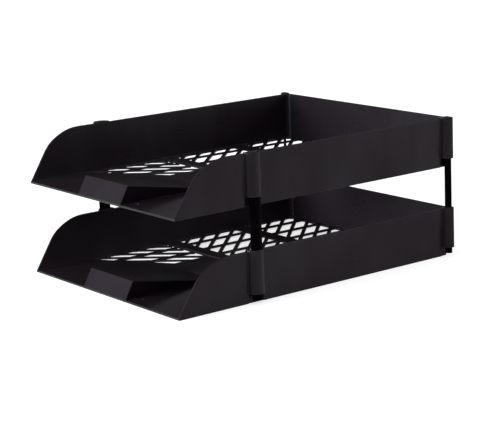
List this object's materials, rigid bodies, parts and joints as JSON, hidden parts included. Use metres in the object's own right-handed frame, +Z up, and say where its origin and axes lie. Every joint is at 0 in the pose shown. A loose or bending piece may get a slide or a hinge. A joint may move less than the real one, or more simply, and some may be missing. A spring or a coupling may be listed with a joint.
{
  "type": "letter tray",
  "caption": "Stacked letter trays with open lattice floors, swept side wings and a hollow front label wedge, held apart by curved risers in side sleeves.",
  "frame": {"origin": "middle of the stack's footprint, on the surface it stands on", "axes": "+X to the right seen from the open front, +Y from the open front to the back wall, +Z up"},
  "size_m": [0.268, 0.337, 0.1433],
  "materials": {
    "tray_plastic": "satin black moulded polystyrene",
    "riser_steel": "black powder coat"
  },
  "bodies": {
    "lower_tray": {"lower_tray": "tray_plastic"},
    "upper_tray": {"upper_tray": "tray_plastic"},
    "riser_front_left": {"riser_front_left": "riser_steel"},
    "riser_front_right": {"riser_front_right": "riser_steel"},
    "riser_rear_left": {"riser_rear_left": "riser_steel"},
    "riser_rear_right": {"riser_rear_right": "riser_steel"}
  },
  "joints": [
    {"name": "riser_front_left_lift", "type": "slide", "parent": "lower_tray", "child": "riser_front_left", "axis": [0, 0, 1], "range_m": [0, 0.056]},
    {"name": "riser_front_right_lift", "type": "slide", "parent": "lower_tray", "child": "riser_front_right", "axis": [0, 0, 1], "range_m": [0, 0.056]},
    {"name": "riser_rear_left_lift", "type": "slide", "parent": "lower_tray", "child": "riser_rear_left", "axis": [0, 0, 1], "range_m": [0, 0.056]},
    {"name": "riser_rear_right_lift", "type": "slide", "parent": "lower_tray", "child": "riser_rear_right", "axis": [0, 0, 1], "range_m": [0, 0.056]},
    {"name": "upper_tray_lift", "type": "slide", "parent": "riser_front_left", "child": "upper_tray", "axis": [0, 0, 1], "range_m": [0, 0.045]}
  ],
  "couplings": [
    {"joint": "riser_front_right_lift", "follows": "riser_front_left_lift", "ratio": 1},
    {"joint": "riser_rear_left_lift", "follows": "riser_front_left_lift", "ratio": 1},
    {"joint": "riser_rear_right_lift", "follows": "riser_front_left_lift", "ratio": 1}
  ]
}
